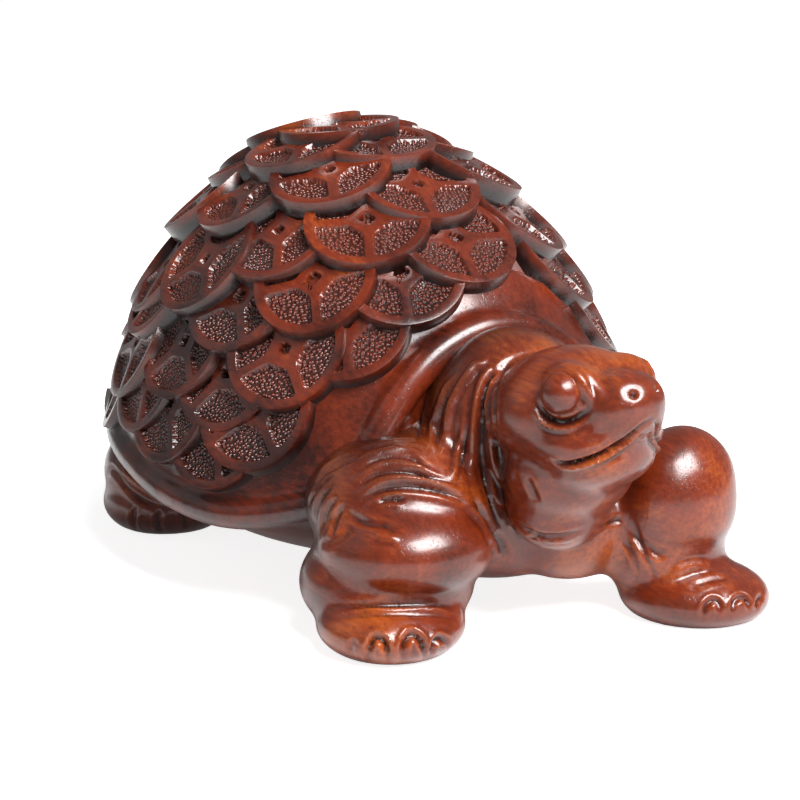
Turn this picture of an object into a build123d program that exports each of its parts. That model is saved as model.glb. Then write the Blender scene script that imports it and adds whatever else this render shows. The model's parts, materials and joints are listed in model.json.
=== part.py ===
from build123d import *
import os
from math import cos, degrees, radians, sin, sqrt

# A walking turtle carved from one block of hardwood, with a shell of old round coins.
# Millimetres. X is the turtle's left, -Y is the way it walks, +Z is up, and the soles stand on z = 0.
# The seams between the pieces follow the lines that the carver cut between the forms.

# The bare shell under the coins is an oval body, tilted nose up
dome_half_width = 31.6
dome_half_length = 36.9
dome_half_height = 49.8
dome_tilt = 10.5
dome_centre_height = 5.0
dome_centre_back = 9.33

# Coins that lie on the shell like roof tiles
coin_radius = 7.8
coin_depth = 5.0
coin_middle_height = 1.7
top_coin_height = 2.9
coin_lean = 7.0
coin_rim_width = 1.3
coin_edge_chamfer = 0.3
coin_gap = 0.06
pit_depth = 0.9
rib_width = 1.25
hole_width = 1.8
hole_frame_width = 1.3
pattern_turn = 42.0

# Each row: coins seen as (degrees round from the front to the right, degrees down from the top),
# then how many more follow evenly from the first coin of the list round the back to the last
coin_rows = [
    ([(28, 19.4)], 2),
    ([(58, 29.4), (7, 29.2)], 5),
    ([(76, 41.2), (38, 39.5), (4, 44.2), (-36, 40.5)], 6),
    ([(79, 56), (55, 51.5), (27, 51.5), (1.5, 56), (-35, 52.1)], 8),
    ([(99, 59.6), (64, 62.5), (43, 61.1), (20.5, 61.2), (-38, 61.3)], 8),
    ([(80, 69), (50, 71.5), (35.5, 68.3), (-46, 69.5)], 9),
    ([(92, 74), (65, 74), (-65, 74)], 8),
    ([(80, 78.3), (57, 79.8)], 0),
    ([(66, 82)], 0),
]
mirrored_rows = [7, 8]

# Smooth band below the coins, and the rolled hood over the neck
band_thickness = 2.3
band_drop = 1.0
hood_roll = 2.1
hood_foot_angle = 22.0
shell_front = 28.7
clear_of_all = 90.0
# The shell's lower edge and the coins' lower limit, seen from the side: shares of the shell's
# half length, positive to the rear, and of its half height
front_edge_share = 0.27
rim_shares = [
    (-0.69, 0.20), (-0.43, 0.147), (-0.14, 0.155), (0.19, 0.195), (0.49, 0.215), (0.76, 0.19), (0.98, 0.13),
    (1.25, 0.08),
]
coin_limit_shares = [
    (1.25, 0.22), (0.76, 0.34), (0.30, 0.37), (-0.20, 0.34), (-0.45, 0.44), (-0.60, 0.62), (-0.66, 0.86),
]

# Body under the shell
belly_half_width = 29.0
belly_half_length = 34.5
belly_half_height = 13.0
belly_height = 15.0
belly_forward = 1.0
chest_half_width = 15.0
chest_half_length = 15.0
chest_half_height = 12.0
chest_height = 16.5
chest_forward = 26.0

# Neck and head
neck_half_width = 12.4
neck_half_height = 12.8
neck_root_forward = 20.0
neck_end_forward = 40.0
neck_root_height = 22.4
neck_end_height = 23.4
neck_taper_share = 0.8
head_half_width = 9.6
head_half_length = 12.6
head_half_height = 9.6
head_forward = 45.5
head_height = 25.4
head_rise = 15.0
head_turn = 8.0
muzzle_half_width = 7.0
muzzle_half_length = 8.0
muzzle_half_height = 6.0
muzzle_reach = 5.8
muzzle_drop = 0.2
jaw_half_width = 8.0
jaw_half_length = 11.0
jaw_half_height = 6.0
jaw_reach = 1.5
jaw_drop = 5.6
mouth_drop = 5.2
mouth_slope = 17.0
eye_radius = 1.8
eye_reach = 6.0
eye_side_share = 0.77
eye_rise = 4.2

# Tail, below the rear of the shell
tail_root_radius = 4.2
tail_tip_radius = 1.5
tail_length = 13.0
tail_back = 27.0
tail_height = 11.0
tail_droop = 24.0
tail_round_share = 0.9

# Legs, each with its place on the ground to the side of the middle and in front of the shell's
# centre, its half sizes, its height and how far its toes turn out in degrees
front_right_side = 16.6
front_right_forward = 32.0
front_right_half_width = 11.6
front_right_half_length = 11.2
front_right_half_height = 11.6
front_right_height = 12.4
front_right_toe_out = 30.0
front_left_side = 16.5
front_left_forward = 40.5
front_left_half_width = 8.8
front_left_half_length = 9.2
front_left_half_height = 11.0
front_left_height = 11.8
front_left_toe_out = 22.0
rear_side = 17.0
rear_right_back = 26.0
rear_left_back = 30.0
rear_half_width = 9.0
rear_half_length = 9.6
rear_half_height = 7.6
rear_height = 7.6
rear_right_toe_out = 48.0
rear_left_toe_out = 30.0

# Feet, flat below
foot_half_width = 10.2
foot_half_length = 10.0
foot_half_height = 6.4
foot_height = 4.4
foot_reach = 3.7
rear_foot_reach = 1.5
rear_foot_share = 0.86
step_foot_reach = 5.6
step_foot_share = 0.95
toe_groove_width = 0.8
toe_groove_depth = 1.0
toe_groove_spread = 24.0
toe_grooves = 3

os.makedirs("parts", exist_ok=True)


def oval_body(centre, half_sizes, turn=(0, 0, 0)):
    """An ellipsoid of the given half sizes, turned about X, Y and Z and set at its centre."""
    unit_ball = Solid.make_sphere(1, angle1=-90, angle2=90, angle3=360)
    return Pos(*centre) * Rot(*turn) * scale(unit_ball, by=half_sizes, mode=Mode.PRIVATE)


def shell_place(around, down, rise=0.0):
    """Point on the shell, its outward direction and its downhill direction, at two angles in degrees."""
    a, d = radians(around), radians(down)
    widths = (dome_half_width, dome_half_length, dome_half_height)
    unit = (-sin(d) * sin(a), -sin(d) * cos(a), cos(d))
    downhill = (-cos(d) * sin(a), -cos(d) * cos(a), -sin(d))
    tilt = Rot(-dome_tilt, 0, 0)
    at = Vector(*[w * u for w, u in zip(widths, unit)])
    out = Vector(*[u / w for w, u in zip(widths, unit)]).normalized()
    fall = Vector(*[w * u for w, u in zip(widths, downhill)])
    to_world = Pos(0, dome_centre_back, dome_centre_height) * tilt
    turned = [Vector(*(tilt * Pos(*v)).position) for v in (out, fall)]
    return Vector(*(to_world * Pos(*at)).position) + turned[0] * rise, turned[0], turned[1]


def coin_plane(around, tip_down, height):
    """The plane of a coin's face: its middle lies one radius uphill of its lowest point."""
    fall = shell_place(around, tip_down)[2]
    middle_down = tip_down - degrees(coin_radius / fall.length)
    at, out, fall = shell_place(around, middle_down, height)
    across = out.cross(fall).normalized()
    face = out * cos(radians(coin_lean)) - fall.normalized() * sin(radians(coin_lean))
    return Plane(origin=at, x_dir=across, z_dir=face)


def row_planes(index):
    """All coin planes of one row, the seen ones first and the rest evenly round the back."""
    seen, hidden = coin_rows[index]
    places = list(seen)
    start, end = seen[0], seen[-1]
    sweep_round = end[0] + 360 - start[0]
    for k in range(1, hidden + 1):
        share = k / (hidden + 1)
        places.append((start[0] + sweep_round * share, start[1] + (end[1] - start[1]) * share))
    if index in mirrored_rows:
        places += [(-around, down) for around, down in seen]
    height = coin_middle_height if index else top_coin_height
    return [coin_plane(around, down, height) for around, down in places]


def cut_by(form, others):
    """Cut the part in hand, which fills the given form, by each other form that comes near it."""
    room = form.bounding_box()
    for other in others:
        box = other.bounding_box()
        apart = (
            box.min.X > room.max.X or box.max.X < room.min.X
            or box.min.Y > room.max.Y or box.max.Y < room.min.Y
            or box.min.Z > room.max.Z or box.max.Z < room.min.Z
        )
        if not apart:
            add(other, mode=Mode.SUBTRACT)


def finish(builder, name):
    """Label a piece, write its file and say what it is made of."""
    builder.part.label = name
    export_step(builder.part, f"parts/{name}.step")
    print(name, len(builder.part.solids()), round(builder.part.volume))


# Bare shell, cut open at the front and along the wavy lower edge
shell_place_of_centre = (0, dome_centre_back, dome_centre_height)
shell_oval = oval_body(
    shell_place_of_centre, (dome_half_width, dome_half_length, dome_half_height), (-dome_tilt, 0, 0)
)
band_half_width = dome_half_width + band_thickness
band_half_length = dome_half_length + band_thickness
band_oval = oval_body(
    shell_place_of_centre, (band_half_width, band_half_length, dome_half_height), (-dome_tilt, 0, 0)
)
front_y = dome_centre_back - shell_front


def side_points(shares):
    """Points of the side view, Y and Z, from shares of the shell's half length and half height."""
    return [
        (dome_centre_back + y * dome_half_length, dome_centre_height + z * dome_half_height)
        for y, z in shares
    ]


rim_points = [(front_y, dome_centre_height + front_edge_share * dome_half_height)] + side_points(rim_shares)

with BuildPart() as carapace_dome:
    with BuildSketch(Plane.YZ):
        with BuildLine():
            edge = Spline(*rim_points)
            Polyline(edge @ 1, ((edge @ 1).X, clear_of_all), (front_y, clear_of_all), edge @ 0)
        make_face()
    extrude(amount=clear_of_all, both=True)
    add(shell_oval, mode=Mode.INTERSECT)
finish(carapace_dome, "carapace_dome")

# One coin, its face on its own XY plane: rim, four pits, ribs and a square hole in its frame,
# turned so that a rib points downhill
with BuildPart() as coin:
    with BuildSketch(Plane.XY):
        Circle(coin_radius)
    extrude(amount=-coin_depth)
    chamfer(coin.edges().filter_by(GeomType.CIRCLE).sort_by(Axis.Z)[-1], length=coin_edge_chamfer)
    with BuildSketch(Plane.XY):
        Circle(coin_radius - coin_rim_width)
        for turn in (45, -45):
            Rectangle(2 * coin_radius, rib_width, rotation=pattern_turn + turn, mode=Mode.SUBTRACT)
        frame = hole_width + 2 * hole_frame_width
        Rectangle(frame, frame, rotation=pattern_turn, mode=Mode.SUBTRACT)
    extrude(amount=-pit_depth, mode=Mode.SUBTRACT)
    with BuildSketch(Plane.XY):
        Rectangle(hole_width, hole_width, rotation=pattern_turn)
    extrude(amount=-pit_depth, mode=Mode.SUBTRACT)

# The plain disc that a coin cuts out of what lies under it
with BuildPart() as coin_seat:
    with BuildSketch(Plane.XY):
        Circle(coin_radius + coin_gap)
    extrude(amount=coin_depth, both=True)

# Coins, row by row from the top; each one is cut by the shell and by the coins that lie over it,
# and the crumbs of that cut are left out
laid = []
for row in range(len(coin_rows)):
    pieces = []
    for place in row_planes(row):
        over = [
            other.location * coin_seat.part
            for other in laid
            if (other.origin - place.origin).length < 2 * (coin_radius + coin_gap)
        ]
        with BuildPart() as scale_coin:
            add(place.location * coin.part)
            add([shell_oval] + over, mode=Mode.SUBTRACT)
        pieces.append(scale_coin.part.solids().sort_by(SortBy.VOLUME)[-1])
        laid.append(place)
    scale_row = Compound(label=f"scale_row_{row}", children=pieces)
    export_step(scale_row, f"parts/scale_row_{row}.step")
    print(f"scale_row_{row}", len(pieces))

coin_seats = [place.location * coin_seat.part for place in laid]

# Smooth band between the coins and the lower edge
with BuildPart() as shell_rim:
    with BuildSketch(Plane.YZ):
        with BuildLine():
            low = Spline(*[(y, z - band_drop) for y, z in rim_points])
            high = Spline(*side_points(coin_limit_shares))
            Line(low @ 1, high @ 0)
            Polyline(high @ 1, (front_y, (high @ 1).Y), low @ 0)
        make_face()
    extrude(amount=clear_of_all, both=True)
    add(band_oval, mode=Mode.INTERSECT)
    add([shell_oval] + coin_seats, mode=Mode.SUBTRACT)
finish(shell_rim, "shell_rim")

# Rolled hood: a round bead along the arch where the flat front cuts the band's oval
tilt_angle = radians(dome_tilt)
steep = cos(tilt_angle)
flat = sin(tilt_angle)
arch_a = (flat / band_half_length) ** 2 + (steep / dome_half_height) ** 2
arch_b = shell_front * sin(2 * tilt_angle) * (1 / band_half_length**2 - 1 / dome_half_height**2)
arch_c = shell_front**2 * ((steep / band_half_length) ** 2 + (flat / dome_half_height) ** 2)
arch_rise = -arch_b / (2 * arch_a)
arch_rest = sqrt(1 - arch_c + arch_b**2 / (4 * arch_a))
arch_half_height = arch_rest / sqrt(arch_a)
arch_half_width = arch_rest * band_half_width
arch_plane = Plane(origin=(0, front_y, dome_centre_height + arch_rise), x_dir=(1, 0, 0), z_dir=(0, -1, 0))
with BuildPart() as neck_hood:
    with BuildLine(arch_plane):
        arch = EllipticalCenterArc(
            (0, 0),
            arch_half_width,
            arch_half_height,
            start_angle=hood_foot_angle,
            arc_size=180 - 2 * hood_foot_angle,
        )
    with BuildSketch(Plane(origin=arch @ 0, z_dir=arch % 0)):
        Circle(hood_roll)
    sweep(path=arch)
    cut_by(neck_hood.part, [carapace_dome.part, shell_rim.part] + coin_seats)
finish(neck_hood, "neck_hood")

# Belly
with BuildPart() as belly:
    add(oval_body((0, dome_centre_back - belly_forward, belly_height),
                  (belly_half_width, belly_half_length, belly_half_height)))
    cut_by(belly.part, [carapace_dome.part, shell_rim.part, neck_hood.part])
finish(belly, "belly")

# Neck, from inside the shell to the back of the head
with BuildPart() as neck:
    for forward, height, share in (
        (neck_root_forward, neck_root_height, 1),
        (neck_end_forward, neck_end_height, neck_taper_share),
    ):
        middle = (0, dome_centre_back - forward, height)
        with BuildSketch(Plane(origin=middle, x_dir=(1, 0, 0), z_dir=(0, -1, 0))):
            Ellipse(neck_half_width * share, neck_half_height * share)
    loft()
    cut_by(neck.part, [carapace_dome.part, neck_hood.part, shell_rim.part, belly.part])
finish(neck, "neck")

# Chest, low between the front legs
with BuildPart() as chest:
    add(oval_body((0, dome_centre_back - chest_forward, chest_height),
                  (chest_half_width, chest_half_length, chest_half_height)))
    cut_by(chest.part, [carapace_dome.part, neck_hood.part, shell_rim.part, belly.part, neck.part])
finish(chest, "chest")

# Head and lower jaw: one form, parted along the mouth
head_turn_plane = Plane(
    origin=(0, dome_centre_back - head_forward, head_height),
    x_dir=(cos(radians(head_turn)), sin(radians(head_turn)), 0),
    z_dir=(0, 0, 1),
)
head_place = head_turn_plane.location * Rot(-head_rise, 0, 0)


def on_head(centre, half_sizes):
    """An oval body placed in the head's own frame: right to left, back, up."""
    return head_place * oval_body(centre, half_sizes)


with BuildPart() as whole_head:
    add(on_head((0, 0, 0), (head_half_width, head_half_length, head_half_height)))
    add(on_head((0, -muzzle_reach, -muzzle_drop), (muzzle_half_width, muzzle_half_length, muzzle_half_height)))
    add(on_head((0, -jaw_reach, -jaw_drop), (jaw_half_width, jaw_half_length, jaw_half_height)))
with BuildPart() as under_mouth:
    mouth_plane = Plane(head_place * Rot(-mouth_slope, 0, 0) * Location((0, 0, -mouth_drop)))
    with BuildSketch(mouth_plane):
        Rectangle(clear_of_all, clear_of_all)
    extrude(amount=-clear_of_all)
with BuildPart() as head:
    add(whole_head.part)
    cut_by(head.part, [under_mouth.part, neck.part, chest.part, neck_hood.part])
finish(head, "head")
with BuildPart() as lower_jaw:
    add(whole_head.part)
    add(under_mouth.part, mode=Mode.INTERSECT)
    cut_by(lower_jaw.part, [neck.part, chest.part])
finish(lower_jaw, "lower_jaw")

# Eyeballs, standing out of the sides of the head
for name, side in (("right_eye", -1), ("left_eye", 1)):
    with BuildPart() as eye:
        add(on_head((side * head_half_width * eye_side_share, -eye_reach, eye_rise), (eye_radius,) * 3))
        add(head.part, mode=Mode.SUBTRACT)
    finish(eye, name)

# Tail
tail_plane = Plane(
    origin=(0, dome_centre_back + tail_back, tail_height),
    x_dir=(1, 0, 0),
    z_dir=(0, cos(radians(tail_droop)), -sin(radians(tail_droop))),
)
with BuildPart() as tail:
    with BuildSketch(tail_plane):
        Circle(tail_root_radius)
    with BuildSketch(tail_plane.offset(tail_length)):
        Circle(tail_tip_radius)
    loft()
    tip_edge = tail.edges().filter_by(GeomType.CIRCLE).sort_by(Axis.Y)[-1]
    fillet(tip_edge, radius=tail_tip_radius * tail_round_share)
    cut_by(tail.part, [carapace_dome.part, shell_rim.part, belly.part])
finish(tail, "tail")

# Legs and feet
body_builders = (carapace_dome, shell_rim, neck_hood, belly, neck, chest, lower_jaw, head, tail)
body_forms = [form.part for form in body_builders]
with BuildPart() as below_ground:
    with BuildSketch(Plane.XY):
        Rectangle(2 * clear_of_all, 2 * clear_of_all)
    extrude(amount=-clear_of_all)


def leg_and_foot(name, side, forward, half_sizes, height, toe_out, foot_share=1.0, reach=foot_reach):
    """One leg and its foot. The foot is whole and flat below, and the leg stands on it."""
    place = Plane(
        origin=(side, dome_centre_back - forward, 0),
        x_dir=(cos(radians(toe_out)), sin(radians(toe_out)), 0),
        z_dir=(0, 0, 1),
    )
    foot_sizes = tuple(foot_share * size for size in (foot_half_width, foot_half_length, foot_half_height))
    groove_circle = foot_sizes[1] - toe_groove_depth + foot_half_length / 2
    with BuildPart() as foot:
        add(place.location * oval_body((0, -reach, foot_height * foot_share), foot_sizes))
        with BuildSketch(place):
            with Locations((0, -reach)):
                with PolarLocations(
                    groove_circle,
                    toe_grooves,
                    start_angle=-90 - toe_groove_spread,
                    angular_range=2 * toe_groove_spread,
                    endpoint=True,
                ):
                    Rectangle(foot_half_length, toe_groove_width)
        extrude(amount=foot_half_length, mode=Mode.SUBTRACT)
        cut_by(foot.part, [below_ground.part] + body_forms)
    with BuildPart() as leg:
        add(place.location * oval_body((0, 0, height), half_sizes))
        cut_by(leg.part, [below_ground.part, foot.part] + body_forms + coin_seats)
    finish(foot, name + "_foot")
    finish(leg, name + "_leg")
    body_forms.extend([foot.part, leg.part])


front_right_sizes = (front_right_half_width, front_right_half_length, front_right_half_height)
front_left_sizes = (front_left_half_width, front_left_half_length, front_left_half_height)
rear_sizes = (rear_half_width, rear_half_length, rear_half_height)
leg_and_foot(
    "front_right", -front_right_side, front_right_forward, front_right_sizes, front_right_height,
    -front_right_toe_out,
)
leg_and_foot(
    "front_left", front_left_side, front_left_forward, front_left_sizes, front_left_height,
    front_left_toe_out, step_foot_share, step_foot_reach,
)
leg_and_foot(
    "rear_right", -rear_side, -rear_right_back, rear_sizes, rear_height, -rear_right_toe_out,
    rear_foot_share, rear_foot_reach,
)
leg_and_foot(
    "rear_left", rear_side, -rear_left_back, rear_sizes, rear_height, rear_left_toe_out,
    rear_foot_share, rear_foot_reach,
)
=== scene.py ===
import json
import random
from math import cos, degrees, pi, radians, sin, sqrt

import bpy
import numpy as np
from mathutils import Matrix, Vector
from mathutils.bvhtree import BVHTree

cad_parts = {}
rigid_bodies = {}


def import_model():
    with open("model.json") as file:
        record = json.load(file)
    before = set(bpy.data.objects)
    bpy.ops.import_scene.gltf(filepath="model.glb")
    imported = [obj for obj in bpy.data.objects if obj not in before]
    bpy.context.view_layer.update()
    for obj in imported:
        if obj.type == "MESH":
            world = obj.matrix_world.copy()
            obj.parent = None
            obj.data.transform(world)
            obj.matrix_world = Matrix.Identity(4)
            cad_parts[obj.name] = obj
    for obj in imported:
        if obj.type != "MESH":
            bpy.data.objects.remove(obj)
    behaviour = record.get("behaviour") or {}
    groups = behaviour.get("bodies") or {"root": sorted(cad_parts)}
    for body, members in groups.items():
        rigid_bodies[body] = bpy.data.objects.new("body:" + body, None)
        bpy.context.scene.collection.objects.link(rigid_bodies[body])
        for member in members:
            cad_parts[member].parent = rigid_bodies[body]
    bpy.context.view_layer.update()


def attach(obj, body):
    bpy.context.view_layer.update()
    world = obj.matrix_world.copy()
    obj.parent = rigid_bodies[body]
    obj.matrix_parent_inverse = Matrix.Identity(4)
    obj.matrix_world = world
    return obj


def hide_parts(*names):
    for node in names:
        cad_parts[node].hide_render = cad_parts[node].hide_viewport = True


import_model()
mm = 0.001
random.seed(8)

# The photograph's camera, in the turtle's own frame: degrees and millimetres
photograph = {
    "azimuth": -31.886,  # round from straight ahead, to the turtle's right
    "elevation": 12.846,
    "distance": 345.15,  # from the point it looks at
    "aim": (10.53, 19.44, 16.78),
    "lens": 112.77,
    "side": 800,  # pixels
}


def cameraAxes():
    around = radians(photograph["azimuth"])
    up = radians(photograph["elevation"])
    back = Vector((sin(around) * cos(up), -cos(around) * cos(up), sin(up)))
    right = Vector((cos(around), sin(around), 0))
    return right, back.cross(right), back


def makeCamera():
    right, up, back = cameraAxes()
    bpy.ops.object.camera_add()
    camera = bpy.context.active_object
    turn = Matrix((right, up, back)).transposed().to_4x4()
    spot = Vector(photograph["aim"]) * mm + back * photograph["distance"] * mm
    camera.matrix_world = Matrix.Translation(spot) @ turn
    camera.data.lens = photograph["lens"]
    camera.data.sensor_width = 36
    camera.data.clip_start = 0.01
    bpy.context.scene.camera = camera


makeCamera()
print("camera placed")


# Small tools of the workshop: picking, cutting, joining and finishing
def deselectAll():
    bpy.ops.object.select_all(action="DESELECT")


def pick(*pieces):
    deselectAll()
    for piece in pieces:
        piece.select_set(True)
    bpy.context.view_layer.objects.active = pieces[0]


def applyModifier(piece, kind, **settings):
    pick(piece)
    modifier = piece.modifiers.new(kind.title(), kind)
    for name, value in settings.items():
        setattr(modifier, name, value)
    bpy.ops.object.modifier_apply(modifier=modifier.name)


def joinAs(name, pieces):
    pick(*pieces)
    bpy.ops.object.join()
    piece = bpy.context.active_object
    piece.name = name
    piece.data.name = name
    return piece


def fuse(piece, voxel):
    applyModifier(piece, "REMESH", mode="VOXEL", voxel_size=voxel * mm, use_smooth_shade=True)


def soften(piece, rounds, factor=0.5):
    applyModifier(piece, "SMOOTH", iterations=rounds, factor=factor)


def pointsOf(piece):
    points = np.empty(len(piece.data.vertices) * 3)
    piece.data.vertices.foreach_get("co", points)
    return points.reshape(-1, 3)


def normalsOf(piece):
    normals = np.empty(len(piece.data.vertices) * 3)
    piece.data.vertex_normals.foreach_get("vector", normals)
    return normals.reshape(-1, 3)


def movePoints(piece, points):
    piece.data.vertices.foreach_set("co", points.reshape(-1))
    piece.data.update()


def addOval(centre, halfSizes, holder=None, segments=48):
    deselectAll()
    bpy.ops.mesh.primitive_uv_sphere_add(segments=segments, ring_count=segments // 2, radius=1)
    oval = bpy.context.active_object
    place = Matrix.Translation(Vector(centre) * mm)
    place = place @ Matrix.Diagonal([size * mm for size in halfSizes] + [1])
    if holder:
        place = holder @ place
    oval.data.transform(place)
    return oval


def combine(piece, other, how, solver="EXACT"):
    applyModifier(piece, "BOOLEAN", operation=how, object=other, solver=solver)
    bpy.data.objects.remove(other)


def selectFaces(piece, wanted):
    # selects the faces that wanted() names by middle and normal, for the next edit-mode operator
    pick(piece)
    bpy.ops.object.mode_set(mode="EDIT")
    bpy.ops.mesh.select_mode(type="FACE")
    bpy.ops.mesh.select_all(action="DESELECT")
    bpy.ops.object.mode_set(mode="OBJECT")
    for face in piece.data.polygons:
        face.select = wanted(face.center, face.normal)
    bpy.ops.object.mode_set(mode="EDIT")


# A smooth line through a few points, as a carver would sketch it
def smoothLine(points, steps):
    spots = [np.array(point, float) for point in points]
    spots = [2 * spots[0] - spots[1]] + spots + [2 * spots[-1] - spots[-2]]
    line = []
    for k in range(1, len(spots) - 2):
        before, start, end, after = spots[k - 1:k + 3]
        for step in range(steps):
            t = step / steps
            bend = 2 * start + (end - before) * t + (2 * before - 5 * start + 4 * end - after) * t**2
            line.append((bend + (3 * start - before - 3 * end + after) * t**3) / 2)
    return line + [spots[-2]]


def flatSlab(outline):
    # an outline of the side view, carried right through the turtle from side to side
    reach = 80
    points = [(side * reach * mm, y * mm, z * mm) for side in (-1, 1) for y, z in outline]
    count = len(outline)
    faces = [tuple(range(count)), tuple(range(2 * count - 1, count - 1, -1))]
    faces += [(k, k + count, (k + 1) % count + count, (k + 1) % count) for k in range(count)]
    mesh = bpy.data.meshes.new("slab")
    mesh.from_pydata(points, [], faces)
    slab = bpy.data.objects.new("slab", mesh)
    bpy.context.collection.objects.link(slab)
    pick(slab)
    bpy.ops.object.mode_set(mode="EDIT")
    bpy.ops.mesh.select_all(action="SELECT")
    bpy.ops.mesh.normals_make_consistent(inside=False)
    bpy.ops.object.mode_set(mode="OBJECT")
    return slab


def tubeAlong(points, radius):
    deselectAll()
    curve = bpy.data.curves.new("lip", "CURVE")
    curve.dimensions = "3D"
    curve.bevel_depth = radius * mm
    curve.bevel_resolution = 5
    curve.use_fill_caps = True
    line = curve.splines.new("POLY")
    line.points.add(len(points) - 1)
    for spot, point in zip(line.points, points):
        spot.co = (point[0] * mm, point[1] * mm, point[2] * mm, 1)
    tube = bpy.data.objects.new("lip", curve)
    bpy.context.collection.objects.link(tube)
    pick(tube)
    bpy.ops.object.convert(target="MESH")
    return bpy.context.active_object


# The shell: the same oval, band and hood that the solids have
shell = {
    "halfSizes": (31.6, 36.9, 49.8),  # millimetres
    "tilt": 10.5,
    "centre": (0, 9.33, 5.0),
    "bandThickness": 1.5,
    "front": 28.7,  # ahead of the centre
    # points of the side view, as shares of the half length and the half height: the wavy lower edge,
    # and the upper edge of the band
    "frontEdgeShare": 0.27,
    "rimShares": [
        (-0.69, 0.20), (-0.43, 0.147), (-0.14, 0.155), (0.19, 0.195), (0.49, 0.215), (0.76, 0.19),
        (0.98, 0.13), (1.25, 0.08),
    ],
    "bandShares": [
        (1.25, 0.22), (0.76, 0.34), (0.30, 0.37), (-0.20, 0.34), (-0.45, 0.44), (-0.60, 0.62), (-0.66, 0.86),
    ],
    "lipRadius": 1.9,
    "lipSunk": 0.6,  # into the band
    "hoodRadius": 2.1,
    "hoodSunk": 0.3,
    "hoodBack": 0.2,
    "roof": 90,  # higher than the shell
    "segments": 96,
    "voxel": 0.45,
    "softening": 8,
}


def shellFrame():
    return Matrix.Translation(Vector(shell["centre"]) * mm) @ Matrix.Rotation(radians(-shell["tilt"]), 4, "X")


def shellPlace(around, down, rise=0.0):
    # a point over the shell, the way out of it and the way downhill
    a = radians(around)
    d = radians(down)
    sizes = shell["halfSizes"]
    unit = (-sin(d) * sin(a), -sin(d) * cos(a), cos(d))
    downhill = (-cos(d) * sin(a), -cos(d) * cos(a), -sin(d))
    at = Vector([size * share for size, share in zip(sizes, unit)]) * mm
    out = Vector([share / size for size, share in zip(sizes, unit)]).normalized()
    fall = Vector([size * share for size, share in zip(sizes, downhill)])
    turn = shellFrame().to_3x3()
    return shellFrame() @ at + turn @ out * rise * mm, turn @ out, turn @ fall


def sidePoints(shares):
    centre = shell["centre"]
    return [(centre[1] + y * shell["halfSizes"][1], centre[2] + z * shell["halfSizes"][2]) for y, z in shares]


def rimLine():
    front = shell["centre"][1] - shell["front"]
    foot = shell["centre"][2] + shell["frontEdgeShare"] * shell["halfSizes"][2]
    return smoothLine([(front, foot)] + sidePoints(shell["rimShares"]), 12)


def bandSizes():
    width, length, height = shell["halfSizes"]
    return width + shell["bandThickness"], length + shell["bandThickness"], height


def onBand(y, z):
    # how far out the band's oval is at a point of the side view
    grown = bandSizes()
    local = shellFrame().inverted() @ Vector((0, y * mm, z * mm)) / mm
    rest = 1 - (local.y / grown[1]) ** 2 - (local.z / grown[2]) ** 2
    return grown[0] * sqrt(max(rest, 0))


def makeShell():
    front = shell["centre"][1] - shell["front"]
    low = [tuple(point) for point in rimLine()]
    limit = [tuple(point) for point in smoothLine(sidePoints(shell["bandShares"]), 8)]
    above = [(low[-1][0], shell["roof"]), (front, shell["roof"])]
    dome = addOval((0, 0, 0), shell["halfSizes"], shellFrame(), shell["segments"])
    combine(dome, flatSlab(low + above), "INTERSECT")
    band = addOval((0, 0, 0), bandSizes(), shellFrame(), shell["segments"])
    combine(band, flatSlab(low + limit + [(front, limit[-1][1])]), "INTERSECT")
    # the rolled lip follows the wavy edge, and the hood arches over the neck
    edge = []
    for y, z in low:
        out = onBand(y, z)
        if out > 1:
            edge.append((-out + shell["lipSunk"], y, z))
    lip = edge + [(-x, y, z) for x, y, z in reversed(edge)]
    lipTube = tubeAlong(lip, shell["lipRadius"])
    foot = low[0][1]
    top = foot
    while onBand(front, top) > 0:
        top += 0.05
    arch = []
    back = shell["hoodBack"]
    for share in np.sin(np.linspace(0, 1, 40) * pi / 2):
        z = foot + (top - foot) * share
        arch.append((-onBand(front, z) + shell["hoodSunk"], front + back, z - back))
    hoodTube = tubeAlong(arch + [(-x, y, z) for x, y, z in reversed(arch)], shell["hoodRadius"])
    body = joinAs("shellBody", [dome, band, lipTube, hoodTube])
    fuse(body, shell["voxel"])
    soften(body, shell["softening"])
    return body


shellBody = makeShell()
print("shell body and its lip carved")


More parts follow.
